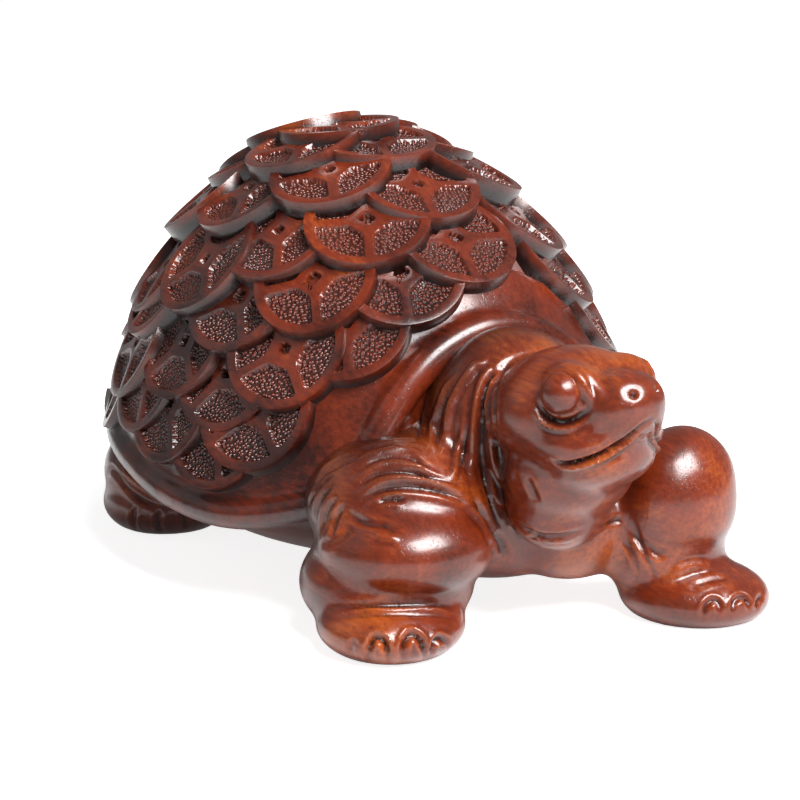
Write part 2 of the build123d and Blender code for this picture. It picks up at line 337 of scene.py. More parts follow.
# The coins: rows that overlap like roof tiles, laid where the photograph shows them
coins = {
    "radius": 7.8,  # millimetres
    "depth": 5.0,
    "sides": 72,
    "height": 1.3,  # of the face's middle above the shell
    "topHeight": 1.8,
    "lean": 8.5,  # of the lower edge away from the shell; the top rows lie flatter
    "topLean": 1.0,
    "leanStep": 3.0,
    "clearance": 0.15,  # between the floor of a pit and what lies under it
    "step": 0.45,  # of every second coin over its neighbours
    "coverInset": 0.3,  # an upper coin's edge rests this far on the coin below
    "coverReach": 1.8,  # radii between coins that may overlap
    "rimWidth": 1.15,
    "ribWidth": 1.1,
    "holeWidth": 1.8,
    "frameWidth": 1.3,
    "pitDepth": 0.6,
    "pitSlope": 0.28,
    "holeDepth": 0.78,
    "holeSlope": 0.12,
    "corner": 0.5,  # radius that the gouge leaves
    "edge": 0.175,
    "uneven": 0.12,
    "patterns": 6,  # coins cut singly by hand, then repeated
    "hiddenTurn": 35,  # degrees either way, for the coins that aren't seen
    "pitDarkening": 0.12,  # share of the full dark
    "wallShade": 0.8,
    "wallShadeFrom": 0.15,  # depth where the painted shade of the walls starts, and the depth over which it grows
    "wallShadeOver": 1.1,
    "mapSize": 20,  # millimetres of one UV square
    # seen coins: degrees round from the front to the right, degrees down from the top, and how far
    # the lowest rib is turned; then how many more follow evenly round the back
    "rows": [
        ([(28, 19.4, 0)], 2),
        ([(58, 29.4, 10), (7, 29.2, -12)], 5),
        ([(76, 41.2, 20), (38, 39.5, 6), (4, 44.2, -10), (-36, 40.5, 8)], 6),
        ([(79, 56, 30), (55, 51.5, 10), (27, 51.5, -6), (1.5, 56, -4), (-35, 52.1, 10)], 8),
        ([(99, 59.6, -20), (64, 62.5, 18), (43, 61.1, 6), (20.5, 61.2, -4), (-38, 61.3, 12)], 8),
        ([(80, 69, 35), (50, 71.5, 22), (35.5, 68.3, -2), (-46, 69.5, 5)], 9),
        ([(92, 74, 15), (65, 74, 42), (-65, 74, 10)], 8),
        ([(80, 78.3, 20), (57, 79.8, 30)], 0),
        ([(66, 82, 10)], 0),
    ],
    "mirroredRows": (7, 8),
}


def coinPlace(around, tipDown, height, lean):
    fall = shellPlace(around, tipDown)[2]
    middleDown = tipDown - degrees(coins["radius"] / fall.length)
    at, out, fall = shellPlace(around, middleDown, height)
    across = out.cross(fall).normalized()
    face = (out * cos(radians(lean)) - fall.normalized() * sin(radians(lean))).normalized()
    place = Matrix((across, face.cross(across), face)).transposed().to_4x4()
    return Matrix.Translation(at) @ place


def rowPlaces(index):
    seen, hidden = coins["rows"][index]
    height = coins["height"] if index else coins["topHeight"]
    spots = list(seen)
    start = seen[0]
    end = seen[-1]
    for step in range(1, hidden + 1):
        share = step / (hidden + 1)
        around = start[0] + (end[0] + 360 - start[0]) * share
        down = start[1] + (end[1] - start[1]) * share
        spots.append((around, down, random.uniform(-coins["hiddenTurn"], coins["hiddenTurn"])))
    if index in coins["mirroredRows"]:
        spots += [(-around, down, -turn) for around, down, turn in seen]
    spots.sort(key=lambda spot: spot[0] % 360)
    lean = min(coins["topLean"] + index * coins["leanStep"], coins["lean"])
    return [(coinPlace(around, down, height, lean), radians(turn)) for around, down, turn in spots]


def liftOver(place, tree):
    # how far a coin is lifted so that the floors of its pits clear the shell
    lift = 0.0
    for across in range(-6, 7, 2):
        for down in range(-6, 4, 2):
            if sqrt(across**2 + down**2) < coins["radius"] - coins["rimWidth"]:
                spot = place @ (Vector((across, down, -coins["pitDepth"])) * mm)
                nearest, outward = tree.find_nearest(spot)[:2]
                lift = max(lift, coins["clearance"] * mm - (spot - nearest).dot(outward))
    return Matrix.Translation(place.to_3x3().col[2] * lift) @ place


def settledRows():
    # row by row from the top, and in each row the coins that lie over their neighbours first
    tree = BVHTree.FromObject(shellBody, bpy.context.evaluated_depsgraph_get())
    rows = []
    for index in range(len(coins["rows"])):
        row = [(liftOver(place, tree), turn) for place, turn in rowPlaces(index)]
        over = [(Matrix.Translation(place.to_3x3().col[2] * coins["step"] * mm) @ place, turn)
                for place, turn in row[1::2]]
        rows.append(over + row[::2])
    return rows


def cutUnder(coin, place, cover):
    # what an upper coin covers is cut out of the coin below it, down to the floor of the upper one's pits
    deselectAll()
    bottom = coins["pitDepth"] + coins["clearance"]
    height = bottom + coins["radius"]
    radius = (coins["radius"] - coins["coverInset"]) * mm
    bpy.ops.mesh.primitive_cylinder_add(vertices=48, radius=radius, depth=height * mm)
    cutter = bpy.context.active_object
    cutter.data.transform(place.inverted() @ cover @ Matrix.Translation((0, 0, (height / 2 - bottom) * mm)))
    whole = coin.data.copy()
    combine(coin, cutter, "DIFFERENCE", "MANIFOLD")
    if not len(coin.data.vertices):
        coin.data = whole


def carveCoin(index):
    rng = random.Random(40 + index)

    def wobble():
        return rng.uniform(-coins["uneven"], coins["uneven"])

    deselectAll()
    depth = coins["depth"] * mm
    bpy.ops.mesh.primitive_cylinder_add(vertices=coins["sides"], radius=coins["radius"] * mm, depth=depth)
    coin = bpy.context.active_object
    coin.data.transform(Matrix.Translation((0, 0, -depth / 2)))
    # the raised edge, then the lines of the ribs, the frame and the hole scribed on the face
    selectFaces(coin, lambda middle, normal: normal.z > 0.9)
    bpy.ops.mesh.inset(thickness=(coins["rimWidth"] + wobble()) * mm)
    bpy.ops.object.mode_set(mode="OBJECT")
    inner = (coins["radius"] - coins["rimWidth"] - 0.3) * mm
    rib = coins["ribWidth"] / 2
    hole = coins["holeWidth"] / 2
    frameEdge = hole + coins["frameWidth"]
    scribed = (
        ((1, 0), rib), ((0, 1), rib), ((1, 1), hole), ((1, -1), hole),
        ((1, 1), frameEdge), ((1, -1), frameEdge),
    )
    for way, gap in scribed:
        for side in (1, -1):
            normal = Vector((*way, 0)).normalized()
            selectFaces(coin, lambda middle, facing: facing.z > 0.9 and middle.xy.length < inner)
            bpy.ops.mesh.bisect(plane_co=normal * (gap + wobble()) * side * mm, plane_no=normal)
            bpy.ops.object.mode_set(mode="OBJECT")
    turned = Matrix.Rotation(-pi / 4, 2)

    def inPit(middle, normal):
        across = turned @ middle.xy
        onFace = normal.z > 0.9 and middle.xy.length < inner
        offRibs = min(abs(middle.x), abs(middle.y)) > rib * mm
        return onFace and offRibs and max(abs(across.x), abs(across.y)) > frameEdge * mm

    def inHole(middle, normal):
        across = turned @ middle.xy
        return normal.z > 0.9 and max(abs(across.x), abs(across.y)) < hole * mm

    selectFaces(coin, inPit)
    bpy.ops.mesh.dissolve_faces()
    bpy.ops.mesh.inset(thickness=coins["pitSlope"] * mm, depth=-coins["pitDepth"] * mm, use_boundary=True)
    bpy.ops.object.mode_set(mode="OBJECT")
    selectFaces(coin, inHole)
    bpy.ops.mesh.dissolve_faces()
    bpy.ops.mesh.inset(thickness=coins["holeSlope"] * mm, depth=-coins["holeDepth"] * mm, use_boundary=True)
    bpy.ops.object.mode_set(mode="OBJECT")
    # the pits' corners are rounded by the gouge
    pick(coin)
    bpy.ops.object.mode_set(mode="EDIT")
    bpy.ops.mesh.select_mode(type="EDGE")
    bpy.ops.mesh.select_all(action="DESELECT")
    bpy.ops.object.mode_set(mode="OBJECT")
    facings = {}
    for face in coin.data.polygons:
        for key in face.edge_keys:
            facings.setdefault(key, []).append(face.normal)
    for edge in coin.data.edges:
        ends = [coin.data.vertices[k].co for k in edge.vertices]
        sloping = abs(ends[0].z - ends[1].z) > 0.5 * mm
        inward = ends[0].xy.length < coins["radius"] * 0.95 * mm
        pair = facings[tuple(sorted(edge.vertices))]
        edge.select = sloping and inward and len(pair) == 2 and pair[0].angle(pair[1]) > radians(25)
    bpy.ops.object.mode_set(mode="EDIT")
    bpy.ops.mesh.bevel(offset=coins["corner"] * mm, segments=3, affect="EDGES")
    bpy.ops.object.mode_set(mode="OBJECT")
    applyModifier(coin, "BEVEL", width=coins["edge"] * mm, segments=2, limit_method="ANGLE",
                  angle_limit=radians(35))
    coin.data.transform(Matrix.Diagonal((1 + wobble() * 0.1, 1 + wobble() * 0.1, 1, 1)))
    return coin


def markCoin(coin):
    # a flat UV map, which points are in a pit, how much darker the pit floors are, and the painted shade on
    # the walls
    points = pointsOf(coin) / mm
    across = np.hypot(points[:, 0], points[:, 1])
    inside = across < coins["radius"] - 0.5 * coins["rimWidth"]
    pit = np.clip(-points[:, 2] / (0.8 * coins["pitDepth"]), 0, 1) * inside
    # painted shade on the coin's side wall, darker the lower it lies below the face
    side = np.maximum(-points[:, 2] - coins["wallShadeFrom"], 0) / coins["wallShadeOver"] * ~inside
    stainAndShade = np.maximum(pit * coins["pitDarkening"], side * coins["wallShade"])
    for name, values in (("pit", pit), ("hollow", stainAndShade)):
        coin.data.attributes.new(name, "FLOAT", "POINT").data.foreach_set("value", values)
    while coin.data.uv_layers:
        coin.data.uv_layers.remove(coin.data.uv_layers[0])
    loops = np.empty(len(coin.data.loops), int)
    coin.data.loops.foreach_get("vertex_index", loops)
    flat = points[loops][:, :2] / coins["mapSize"] + random.uniform(0, 5)
    coin.data.uv_layers.new(name="face").data.foreach_set("uv", flat.reshape(-1))


def makeCoinRows():
    patterns = [carveCoin(k) for k in range(coins["patterns"])]
    reach = coins["coverReach"] * coins["radius"] * mm
    rows = []
    covers = []
    for index, places in enumerate(settledRows()):
        laid = []
        for count, (place, turn) in enumerate(places):
            coin = patterns[(count * 5 + index * 2) % len(patterns)].copy()
            coin.data = coin.data.copy()
            bpy.context.collection.objects.link(coin)
            turned = place @ Matrix.Rotation(turn, 4, "Z")
            for cover in covers:
                if (cover.translation - place.translation).length < reach:
                    cutUnder(coin, turned, cover)
            markCoin(coin)
            pick(coin)
            bpy.ops.object.shade_smooth_by_angle(angle=radians(40))
            coin.data.transform(turned)
            covers.append(place)
            laid.append(coin)
        rows.append(joinAs(f"coinRow{index}", laid))
    for coin in patterns:
        bpy.data.objects.remove(coin)
    return rows


coinRows = makeCoinRows()
print("rows of coins laid:", len(coinRows))

# The body: ovals run together like soft clay, then carved along lines that are sketched on the photograph
headFrame = (
    Matrix.Translation(Vector((0, -36.17, 25.4)) * mm)
    @ Matrix.Rotation(radians(8), 4, "Z")
    @ Matrix.Rotation(radians(-15), 4, "X")
)


def legFrame(side, forward, toeOut):
    return Matrix.Translation(Vector((side, -forward, 0)) * mm) @ Matrix.Rotation(radians(toeOut), 4, "Z")


legs = {
    "frontRight": legFrame(-16.6, 22.67, -30),
    "frontLeft": legFrame(16.5, 31.17, 22),
    "rearRight": legFrame(-17, -35.33, -48),
    "rearLeft": legFrame(17, -39.33, 30),
}
bodyForms = [
    # centre, half sizes and the frame that they are in
    ((0, 8.33, 15), (29, 34.5, 13), None),  # belly
    ((0, -16.67, 16.5), (15, 15, 12), None),  # chest
    ((0, -13, 22.4), (12.4, 11, 12.6), None),  # root of the neck
    ((0, -22, 23.4), (11.2, 10, 11.8), None),  # neck
    ((0, 0.5, 2.4), (9.3, 9.6, 7.5), headFrame),  # top of the skull
    ((-4.4, -4.6, 4.2), (3.7, 4.2, 3.9), headFrame),  # brows
    ((3.9, -4.5, 4.2), (3.5, 4.2, 3.9), headFrame),
    ((0, -8.2, 1.8), (5.4, 4.9, 4.4), headFrame),  # snout
    ((0, -3.2, -1.2), (8.5, 7.2, 3.9), headFrame),  # upper lip and cheeks
    ((0, -3.0, -3.4), (7.3, 6.6, 4.2), headFrame),  # lower jaw
    ((0, 2.0, -4.5), (8.2, 7.4, 6.2), headFrame),  # throat
    ((0, 4.8, -7.8), (7.0, 6.0, 6.4), headFrame),
    ((1.5, -20, 12.0), (15.5, 10.5, 8.4), None),  # breast
    ((7, -26, 11.0), (10, 8, 7.2), None),
    ((1.0, 2.2, 15.4), (11.6, 10.2, 8.3), legs["frontRight"]),  # sleeve of skin, knee, ankle and foot
    ((1.4, -1.9, 11.4), (10.7, 10.8, 6.4), legs["frontRight"]),
    ((-0.8, -1.0, 6.6), (10.5, 10.0, 7.2), legs["frontRight"]),
    ((-0.5, -6.1, 2.9), (8.9, 9.8, 4.2), legs["frontRight"]),
    ((0, -2.8, 14.4), (8.4, 6.7, 8.6), legs["frontLeft"]),
    ((0, -0.6, 8.0), (8.2, 7.4, 7.5), legs["frontLeft"]),
    ((0, -5.0, 2.5), (8.7, 9.4, 4.3), legs["frontLeft"]),
    ((0, 0, 7.6), (9.0, 9.6, 7.6), legs["rearRight"]),
    ((0, -1.5, 3.4), (8.8, 8.6, 5.0), legs["rearRight"]),
    ((0, 0, 7.6), (9.0, 9.6, 7.6), legs["rearLeft"]),
    ((0, -1.5, 3.4), (8.8, 8.6, 5.0), legs["rearLeft"]),
    ((0, 39.5, 9.2), (4.6, 7.0, 4.0), None),  # tail
    ((0, 44.6, 6.8), (2.6, 5.0, 2.4), None),
]


# How the forms are run together: millimetres, and rounds of smoothing
modelling = {
    "firstVoxel": 0.6,
    "soleVoxel": 0.5,
    "smoothing": 22,
    "swelling": 0.8,  # share of what smoothing wears off that is put back
    "lastVoxel": 0.3,
    "lastSmoothing": 3,
}


def makeClay():
    clay = joinAs("clay", [addOval(*form) for form in bodyForms])
    fuse(clay, modelling["firstVoxel"])
    # flat soles
    pick(clay)
    bpy.ops.object.mode_set(mode="EDIT")
    bpy.ops.mesh.select_all(action="SELECT")
    bpy.ops.mesh.bisect(plane_co=(0, 0, 0), plane_no=(0, 0, 1), use_fill=True, clear_inner=True)
    bpy.ops.object.mode_set(mode="OBJECT")
    fuse(clay, modelling["soleVoxel"])
    before = pointsOf(clay)
    soften(clay, modelling["smoothing"])
    # smoothing fills the creases between the forms, and the round parts stay nearly as large as they were
    points = pointsOf(clay)
    normals = normalsOf(clay)
    worn = np.maximum(((before - points) * normals).sum(1), 0)
    points += normals * worn[:, None] * modelling["swelling"]
    points[:, 2] = np.maximum(points[:, 2], 0)
    movePoints(clay, points)
    fuse(clay, modelling["lastVoxel"])
    soften(clay, modelling["lastSmoothing"])
    return clay


clay = makeClay()
print("clay body:", len(clay.data.vertices))

# Lines of the carving: depth (a ridge is below zero) and half width in millimetres, then the pixels of the
# 800-pixel photograph that the line runs through
neckLines = [
    (-0.45, 0.45, [(545, 346), (520, 353), (503, 365), (497, 378), (490, 392), (487, 405), (490, 425),
                   (492, 445), (494, 460), (498, 475), (507, 490)]),
    (-0.55, 0.5, [(527, 346), (505, 355), (495, 365), (484, 378), (479, 390), (476, 405), (474, 420),
                  (472, 440), (471, 460), (472, 474), (478, 492)]),
    (-0.5, 0.5, [(505, 348), (485, 362), (475, 365), (467, 375), (460, 385), (455, 395), (450, 405),
                 (447, 420), (446, 430), (444, 445), (441, 462)]),
    (-0.4, 0.4, [(462, 372), (447, 385), (442, 395), (437, 410), (432, 425), (431, 440), (432, 452)]),
    (-0.3, 0.35, [(466, 405), (463, 430), (458, 450), (455, 470), (451, 482)]),
    (0.4, 0.4, [(483, 410), (481, 430), (482, 455), (485, 480), (492, 505), (498, 525)]),
    (0.35, 0.4, [(425, 400), (420, 415), (418, 430), (421, 442)]),
    (0.4, 0.5, [(520, 352), (505, 366), (498, 385), (495, 405), (497, 440), (503, 475), (515, 500)]),
    (0.3, 0.45, [(497, 470), (503, 500), (512, 525), (520, 540)]),
    (0.35, 0.45, [(527, 478), (532, 490), (537, 502)]),
    (0.3, 0.4, [(513, 520), (535, 533), (560, 536), (590, 528)]),
    (-0.25, 0.35, [(520, 530), (545, 541), (575, 540)]),
    (0.35, 0.35, [(528, 538), (538, 537), (548, 540)]),
]
faceLines = [
    (0.45, 0.32, [(551, 459), (560, 463), (575, 463), (600, 455), (620, 443), (633, 433), (644, 424),
                  (655, 417)]),
    (-0.4, 0.34, [(553, 466), (575, 467), (600, 459), (618, 448), (632, 438), (641, 431)]),
    (0.15, 0.4, [(566, 478), (590, 473), (612, 461), (628, 448)]),
    (-0.2, 0.6, [(555, 452), (575, 453), (598, 445), (618, 433), (634, 421)]),
    (0.45, 0.38, [(535, 397), (539, 408), (548, 418), (561, 422), (574, 420), (585, 413), (591, 405)]),
    (-0.25, 0.35, [(536, 408), (543, 420), (556, 429), (571, 429), (584, 422)]),
    (0.4, 0.35, [(562, 376), (571, 384), (578, 395), (588, 407)]),
    (-0.3, 0.35, [(566, 369), (579, 378), (588, 392), (594, 404)]),
    (0.2, 0.6, [(598, 372), (606, 385), (612, 402)]),
    (0.2, 0.7, [(606, 366), (625, 368), (640, 372)]),
]
nearLegLines = [
    (0.3, 0.4, [(340, 458), (365, 449), (385, 444), (405, 441), (418, 441)]),
    (-0.35, 0.4, [(345, 467), (370, 454), (395, 449), (412, 450), (426, 459)]),
    (0.35, 0.35, [(350, 474), (375, 460), (397, 456), (417, 460), (432, 470)]),
    (-0.35, 0.4, [(352, 482), (375, 467), (395, 463), (418, 467), (440, 478)]),
    (0.35, 0.35, [(352, 490), (375, 475), (400, 471), (425, 475), (450, 485)]),
    (-0.35, 0.4, [(355, 497), (378, 482), (400, 478), (425, 481), (448, 487), (462, 492)]),
    (0.5, 0.45, [(358, 506), (378, 492), (402, 487), (428, 489), (450, 494), (468, 503)]),
    (-0.25, 0.4, [(313, 480), (326, 466), (345, 455), (380, 447)]),
    (0.3, 0.35, [(312, 490), (325, 474), (345, 463), (362, 458)]),
    (0.35, 0.35, [(308, 505), (318, 487), (334, 473)]),
    (0.35, 0.35, [(314, 520), (320, 500), (334, 484)]),
    (0.35, 0.35, [(320, 535), (326, 513), (338, 495)]),
    (0.3, 0.35, [(330, 540), (335, 520), (344, 503)]),
    (0.4, 0.4, [(376, 501), (390, 499), (406, 500)]),
    (0.4, 0.45, [(346, 513), (358, 519), (372, 524), (385, 526), (398, 532)]),
    (-0.3, 0.45, [(372, 534), (385, 538), (400, 540)]),
    (0.35, 0.6, [(318, 546), (335, 538), (352, 524)]),
    (-0.35, 0.6, [(463, 497), (480, 520), (493, 543), (500, 558)]),
    (0.5, 0.5, [(470, 496), (487, 520), (500, 545), (506, 558)]),
    (0.2, 0.5, [(326, 606), (350, 607), (385, 605), (420, 604), (445, 606), (460, 610)]),
    (-0.45, 0.45, [(335, 613), (370, 612), (405, 611), (437, 611), (455, 615)]),
]
nearClaws = [
    (0.65, 0.36, [(368, 663), (369, 650), (375, 638), (383, 641), (387, 651), (388, 662)]),
    (0.65, 0.36, [(402, 663), (403, 647), (410, 635), (419, 639), (424, 651), (425, 662)]),
    (0.6, 0.36, [(431, 660), (432, 648), (438, 639), (447, 643), (451, 655)]),
    (0.3, 0.4, [(350, 655), (352, 645), (358, 640)]),
]
farLegLines = [
    (0.3, 0.5, [(632, 520), (640, 540), (655, 552), (672, 557)]),
    (0.25, 0.35, [(622, 535), (632, 555), (640, 578)]),
    (0.2, 0.3, [(632, 530), (643, 550), (650, 572)]),
    (0.2, 0.3, [(640, 545), (650, 562), (655, 580)]),
    (0.3, 0.4, [(605, 524), (613, 521), (622, 519)]),
    (-0.3, 0.6, [(668, 576), (690, 566), (712, 566)]),
    (0.3, 0.5, [(690, 588), (712, 580), (730, 578)]),
    (0.4, 0.35, [(703, 622), (705, 608), (712, 600), (719, 604), (720, 618)]),
    (0.4, 0.35, [(732, 614), (734, 602), (741, 597), (747, 602), (748, 612)]),
    (0.35, 0.35, [(755, 610), (757, 600), (762, 597)]),
]
rearLegLines = [
    (0.4, 0.5, [(106, 474), (113, 470), (125, 485), (140, 497), (158, 507)]),
    (-0.3, 0.5, [(112, 462), (125, 472), (140, 484), (158, 496), (175, 505)]),
    (0.3, 0.45, [(120, 455), (135, 475), (150, 490), (168, 500)]),
    (0.4, 0.4, [(136, 506), (133, 518), (135, 530)]),
    (0.4, 0.4, [(160, 510), (158, 521), (160, 532)]),
    (0.35, 0.4, [(184, 508), (184, 518), (186, 528)]),
]
# Round dents (and bumps, below zero): pixel, depth and radius in millimetres
faceSpots = [
    ((632, 392), -0.5, 1.7), ((632, 393), 0.5, 1.05), ((634, 395), 0.6, 0.35),
    ((520, 425), -0.4, 4.0), ((585, 377), -0.4, 2.0), ((575, 406), 0.35, 1.3), ((547, 409), 0.3, 1.2),
]
legSpots = [((397, 597), 0.4, 2.6), ((345, 530), 0.5, 2.5), ((400, 570), -0.3, 5.0), ((388, 628), -0.3, 4.0)]
# How the lines are cut
carving = {
    "steps": 8,  # of a line between two of its pixels
    "bank": 0.35,  # share of the depth that stands up beside a cut
    "bankAt": 1.9,  # half widths from the line
    "bankSpread": 0.5,
    "hiddenShare": 0.7,  # of the depth, on the side that isn't seen
    "soleFrom": 0.1,  # the cuts fade out over this height above the soles, and end here
    "soleOver": 0.4,
}


def photoRay(across, down):
    right, up, back = cameraAxes()
    focal = photograph["lens"] / 36 * photograph["side"]
    half = photograph["side"] / 2
    start = Vector(photograph["aim"]) * mm + back * photograph["distance"] * mm
    way = right * (across - half) / focal - up * (down - half) / focal - back
    return start, way.normalized()


def thrownOn(tree, pixels):
    spots = [tree.ray_cast(*photoRay(*pixel))[0] for pixel in pixels]
    return [spot for spot in spots if spot]


def mirroredOn(tree, spots, source, target):
    flip = target @ Matrix.Diagonal((-1, 1, 1, 1)) @ source.inverted()
    return [tree.find_nearest(flip @ spot)[0] for spot in spots]


def carveLine(heights, points, spots, depth, width):
    line = np.array([spot[:] for spot in spots]) / mm
    reach = 4 * width
    near = np.flatnonzero(((points > line.min(0) - reach) & (points < line.max(0) + reach)).all(1))
    if not len(near):
        return
    gaps = np.linalg.norm(points[near, None] - line[None], axis=2)
    closest = gaps.argmin(1)
    share = closest / max(len(line) - 1, 1)
    fade = np.clip(4 * np.minimum(share, 1 - share), 0, 1)
    across = gaps.min(1) / width
    bank = carving["bank"] * np.exp(-(across - carving["bankAt"])**2 / carving["bankSpread"])
    heights[near] -= depth * (np.exp(-across**2) - bank) * fade


def pressSpot(heights, points, spot, depth, radius):
    gaps = np.linalg.norm(points - np.array(spot[:]) / mm, axis=1)
    heights -= depth * np.exp(-(gaps / radius)**2)


def carveBody(clay):
    tree = BVHTree.FromObject(clay, bpy.context.evaluated_depsgraph_get())
    points = pointsOf(clay) / mm
    normals = normalsOf(clay)
    heights = np.zeros(len(points))
    still = Matrix.Identity(4)
    sides = (
        (neckLines, still, [still]), (faceLines, headFrame, [headFrame]),
        (nearLegLines, legs["frontRight"], []), (nearClaws, legs["frontRight"], []),
        (farLegLines, still, []), (rearLegLines, legs["rearRight"], [legs["rearLeft"]]),
    )
    for lines, source, targets in sides:
        for depth, width, pixels in lines:
            spots = thrownOn(tree, smoothLine(pixels, carving["steps"]))
            carveLine(heights, points, spots, depth, width)
            for target in targets:
                hidden = mirroredOn(tree, spots, source, target)
                carveLine(heights, points, hidden, depth * carving["hiddenShare"], width)
    dents = ((faceSpots, headFrame, headFrame), (legSpots, legs["frontRight"], legs["frontLeft"]))
    for spots, source, target in dents:
        for pixel, depth, radius in spots:
            for spot in thrownOn(tree, [pixel]):
                pressSpot(heights, points, spot, depth, radius)
                pressSpot(heights, points, mirroredOn(tree, [spot], source, target)[0], depth, radius)
    heights *= np.clip((points[:, 2] - carving["soleFrom"]) / carving["soleOver"], 0, 1)
    points += normals * heights[:, None]
    points[:, 2] = np.maximum(points[:, 2], 0)
    movePoints(clay, points * mm)


# Where painted shade darkens the creases, the wide hollows and the skin under the shell, where dark stain
# stays in the creases, and where the polish wears the ridges lighter: millimetres, and shares of the full
# shade
shadeAndWear = {
    "fineRounds": 4,  # of smoothing, which finds the creases and ridges
    "wideRounds": 60,  # and the wide hollows
    "creaseDepth": 0.09,
    "creaseStainAndShade": 0.75,
    "hollowDepth": 0.5,
    "hollowShade": 0.5,
    "shellReach": 7.5,
    "shellShade": 0.9,
    "darkest": 0.95,
    "ridgeHeight": 0.12,
    "ridgeRubbing": 0.5,
}


def hollowness(piece, rounds):
    # how far the surface lies below its smoothed self: above zero in creases, below on ridges
    twin = piece.copy()
    twin.data = piece.data.copy()
    bpy.context.collection.objects.link(twin)
    soften(twin, rounds)
    depth = ((pointsOf(twin) - pointsOf(piece)) * normalsOf(piece)).sum(1) / mm
    bpy.data.objects.remove(twin)
    return depth


def markShadeAndWear(piece, shade):
    # creases keep dark stain and get painted shade, wide hollows and the skin close under the shell get
    # painted shade, and ridges are rubbed lighter
    fine = hollowness(piece, shadeAndWear["fineRounds"])
    wide = hollowness(piece, shadeAndWear["wideRounds"])
    crease = np.clip(fine / shadeAndWear["creaseDepth"], 0, 1) * shadeAndWear["creaseStainAndShade"]
    hollow = crease + np.clip(wide / shadeAndWear["hollowDepth"], 0, 1) * shadeAndWear["hollowShade"]
    # painted shade on the skin close under the shell, darker the nearer it lies
    tree = BVHTree.FromObject(shade, bpy.context.evaluated_depsgraph_get())
    gaps = np.array([tree.find_nearest(vertex.co)[3] for vertex in piece.data.vertices]) / mm
    hollow = np.maximum(hollow, shadeAndWear["shellShade"] * np.clip(1 - gaps / shadeAndWear["shellReach"], 0, 1))
    worn = np.clip(-fine / shadeAndWear["ridgeHeight"], 0, 1) * shadeAndWear["ridgeRubbing"]
    for name, values in (("hollow", np.clip(hollow, 0, shadeAndWear["darkest"])), ("worn", worn)):
        piece.data.attributes.new(name, "FLOAT", "POINT").data.foreach_set("value", values)


eye = {
    "pixel": (557, 393),
    "radius": 2.5,  # millimetres
    "rise": 1.1,  # above the face
    "hiddenRise": 0.7,
    "uneven": 0.015,
    "waves": (2.1, 1.7, 1.3),
}


def makeEye(clay, name, mirrored):
    tree = BVHTree.FromObject(clay, bpy.context.evaluated_depsgraph_get())
    spot = thrownOn(tree, [eye["pixel"]])[0]
    if mirrored:
        spot = mirroredOn(tree, [spot], headFrame, headFrame)[0]
    outward = tree.find_nearest(spot)[1]
    rise = eye["hiddenRise"] if mirrored else eye["rise"]
    centre = spot / mm - outward * (eye["radius"] - rise)
    ball = addOval(centre, [eye["radius"]] * 3)
    bpy.ops.object.shade_smooth()
    ball.name = name
    ball.data.name = name
    # the carver's knife leaves the ball a little uneven
    middle = np.array(centre[:])
    away = pointsOf(ball) / mm - middle
    across, ahead, up = (away * eye["waves"]).T
    uneven = 1 + eye["uneven"] * np.sin(across + up) * np.cos(ahead)
    movePoints(ball, (middle + away * uneven[:, None]) * mm)
    return ball


# Each form of the body as a piece of its own, cut where the solids meet: low and high corner in millimetres
cuts = [
    ("frontRightLeg", (-45, -45, -5), (-10, -8, 24), None),
    ("frontLeftLeg", (10, -50, -5), (45, -12, 24), None),
    ("rearRightLeg", (-45, 25.4, -5), (-9, 60, 20), None),
    ("rearLeftLeg", (9, 25.4, -5), (45, 60, 20), None),
    ("tail", (-8, 41, -5), (8, 60, 20), None),
    ("head", (-20, -30, -12.5), (20, 3.6, 20), headFrame),
    ("neck", (-30, -50, 16), (30, -8, 60), None),
    ("chest", (-30, -50, -5), (30, -8, 17), None),  # up to where the neck was taken off
]
jawCut = ((-20, -30, -30), (20, 20, -2.4))
footCut = ((-60, -60, -5), (60, 60, 6.3))


def boxAround(low, high, holder=None):
    deselectAll()
    bpy.ops.mesh.primitive_cube_add(size=1)
    box = bpy.context.active_object
    low = Vector(low) * mm
    high = Vector(high) * mm
    place = Matrix.Translation((low + high) / 2) @ Matrix.Diagonal((*(high - low), 1))
    box.data.transform(holder @ place if holder else place)
    return box


def takeOff(piece, name, low, high, holder=None):
    part = piece.copy()
    part.data = piece.data.copy()
    bpy.context.collection.objects.link(part)
    part.name = name
    part.data.name = name
    combine(part, boxAround(low, high, holder), "INTERSECT", "MANIFOLD")
    combine(piece, boxAround(low, high, holder), "DIFFERENCE", "MANIFOLD")
    return part


def cutBody(clay):
    pieces = {name: takeOff(clay, name, low, high, holder) for name, low, high, holder in cuts}
    clay.name = "belly"
    pieces["belly"] = clay
    pieces["lowerJaw"] = takeOff(pieces["head"], "lowerJaw", *jawCut, headFrame)
    for name in legs:
        pieces[name + "Foot"] = takeOff(pieces[name + "Leg"], name + "Foot", *footCut)
    for piece in pieces.values():
        pick(piece)
        bpy.ops.object.shade_smooth_by_angle(angle=radians(50))
    return pieces


carveBody(clay)
eyes = [makeEye(clay, "rightEye", False), makeEye(clay, "leftEye", True)]
markShadeAndWear(clay, shellBody)
body = cutBody(clay)
print("body carved and cut into its forms")


# Colours are written as on a screen and turned to linear light here
def linear(shade):
    values = [int(shade[k:k + 2], 16) / 255 for k in (1, 3, 5)]
    return [v / 12.92 if v <= 0.04045 else ((v + 0.055) / 1.055) ** 2.4 for v in values] + [1]


def addNode(tree, kind, settings=None, links=None):
    node = tree.nodes.new(kind)
    for name, value in (settings or {}).items():
        if isinstance(name, int) or name in node.inputs:
            node.inputs[name].default_value = value
        else:
            setattr(node, name, value)
    for socket, source in (links or {}).items():
        tree.links.new(source, node.inputs[socket])
    return node
